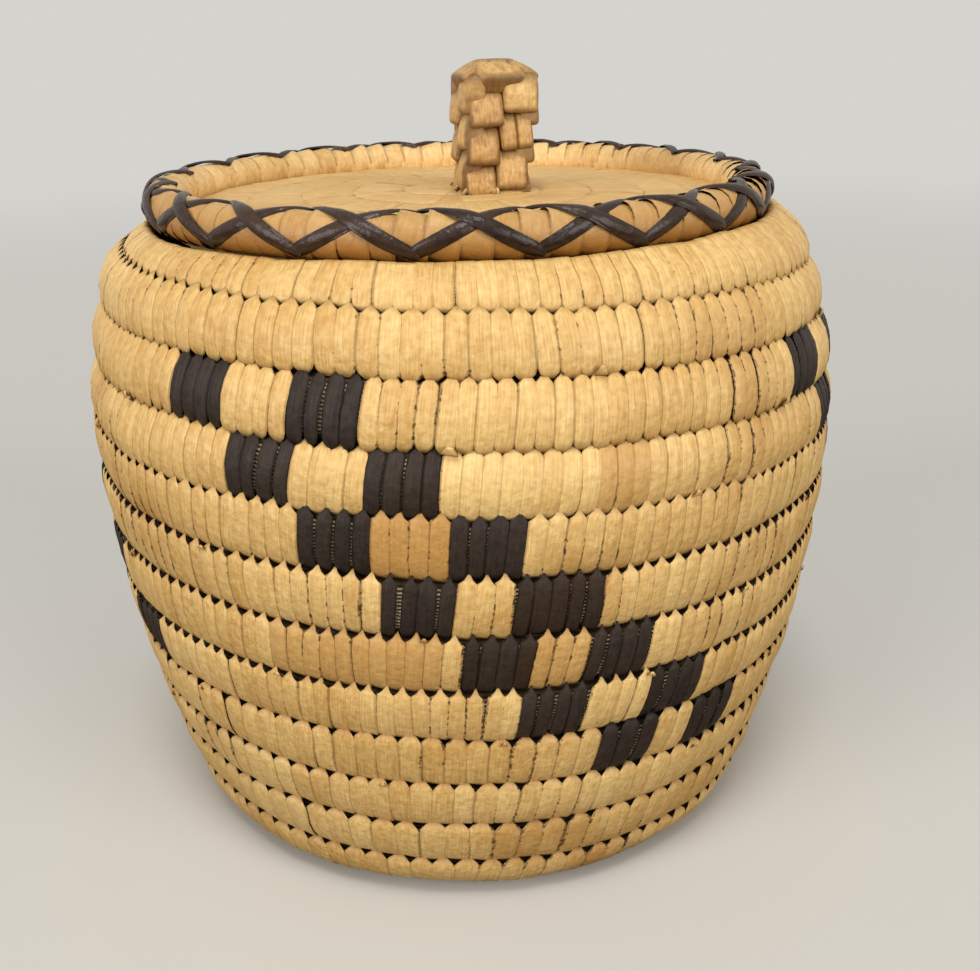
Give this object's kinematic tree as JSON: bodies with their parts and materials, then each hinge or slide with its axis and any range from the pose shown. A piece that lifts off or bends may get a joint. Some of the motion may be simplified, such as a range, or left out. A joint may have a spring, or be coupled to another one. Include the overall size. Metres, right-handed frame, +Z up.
{
  "type": "lidded coiled basket",
  "caption": "Jar-shaped coiled grass basket with dark stair-step stitching, and a flat lid with a laced rim and a plaited knob that lifts off.",
  "frame": {"origin": "middle of the base, on the surface that the basket stands on", "axes": "+Z up through the mouth and the lid, -Y towards the front of the basket, +X to its right as the front is seen"},
  "size_m": [0.202, 0.2014, 0.197],
  "materials": {
    "coil": "satin",
    "rim": "satin",
    "dark_stitch": "satin",
    "lacing": "satin",
    "knob": "satin"
  },
  "bodies": {
    "basket": {"base_coil": "coil", "wall_coil": "coil", "dark_flight_1a": "dark_stitch", "dark_flight_1b": "dark_stitch", "dark_flight_2a": "dark_stitch", "dark_flight_2b": "dark_stitch", "dark_flight_3a": "dark_stitch", "dark_flight_3b": "dark_stitch", "dark_flight_4a": "dark_stitch", "dark_flight_4b": "dark_stitch"},
    "lid": {"lid_coil": "coil", "lid_rim_coil": "rim", "rim_lacing_a": "lacing", "rim_lacing_b": "lacing", "knob_strip_1": "knob", "knob_strip_2": "knob", "knob_strip_3": "knob", "knob_strip_4": "knob"}
  },
  "joints": [
    {"name": "lid_lift", "type": "slide", "parent": "basket", "child": "lid", "axis": [0, 0, 1], "range_m": [0, 0.12]}
  ]
}
